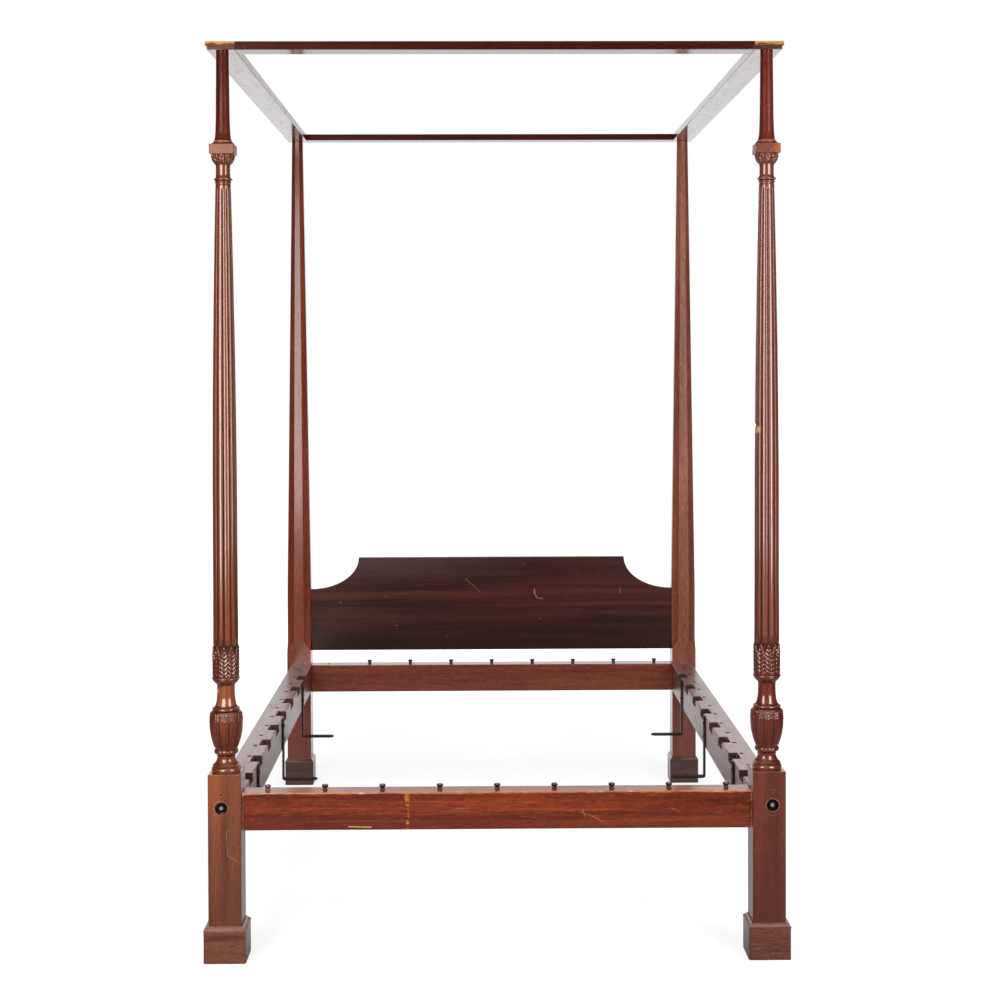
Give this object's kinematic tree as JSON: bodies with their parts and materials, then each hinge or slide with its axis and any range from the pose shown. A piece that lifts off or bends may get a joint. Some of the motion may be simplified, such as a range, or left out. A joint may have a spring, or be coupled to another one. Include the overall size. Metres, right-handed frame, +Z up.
{
  "type": "canopy bed",
  "caption": "Tester bed frame with reeded, leaf-carved foot posts, octagonal tapered head posts, a plank headboard, bolted notched rails and a flat tester that lifts off.",
  "frame": {"origin": "on the floor, at the centre of the rectangle that the block feet stand in", "axes": "+Z up, +X to the right seen from the foot end, +Y from the foot end towards the headboard"},
  "size_m": [1.594, 2.0964, 2.495],
  "materials": {
    "carved_mahogany": "gloss varnish",
    "mahogany": "gloss varnish",
    "rail_mahogany": "worn gloss varnish",
    "headboard_mahogany": "satin varnish",
    "tester_mahogany": "gloss varnish",
    "black_iron": "dark forged"
  },
  "bodies": {
    "bedstead": {"end_rail_bolts": "black_iron", "end_rail_nuts": "black_iron", "foot_column_left": "mahogany", "foot_column_right": "mahogany", "foot_moulding_left": "mahogany", "foot_moulding_right": "mahogany", "foot_plinth_left": "mahogany", "foot_plinth_right": "mahogany", "foot_post_left": "carved_mahogany", "foot_post_right": "carved_mahogany", "foot_rail": "rail_mahogany", "foot_rail_pegs": "mahogany", "head_moulding_left": "mahogany", "head_moulding_right": "mahogany", "head_plinth_left": "mahogany", "head_plinth_right": "mahogany", "head_post_left": "mahogany", "head_post_right": "mahogany", "head_rail": "rail_mahogany", "head_rail_pegs": "mahogany", "headboard": "headboard_mahogany", "iron_screws": "black_iron", "left_iron_1": "black_iron", "left_iron_2": "black_iron", "left_iron_3": "black_iron", "right_iron_1": "black_iron", "right_iron_2": "black_iron", "right_iron_3": "black_iron", "side_rail_bolts": "black_iron", "side_rail_left": "rail_mahogany", "side_rail_nuts": "black_iron", "side_rail_right": "rail_mahogany", "side_rail_stubs_left": "rail_mahogany", "side_rail_stubs_right": "rail_mahogany", "tester_pins": "black_iron"},
    "tester": {"tester_foot_rail": "tester_mahogany", "tester_head_rail": "tester_mahogany", "tester_left_rail": "tester_mahogany", "tester_right_rail": "tester_mahogany"}
  },
  "joints": [
    {"name": "tester_lift", "type": "slide", "parent": "bedstead", "child": "tester", "axis": [0, 0, 1], "range_m": [0, 0.05]}
  ]
}
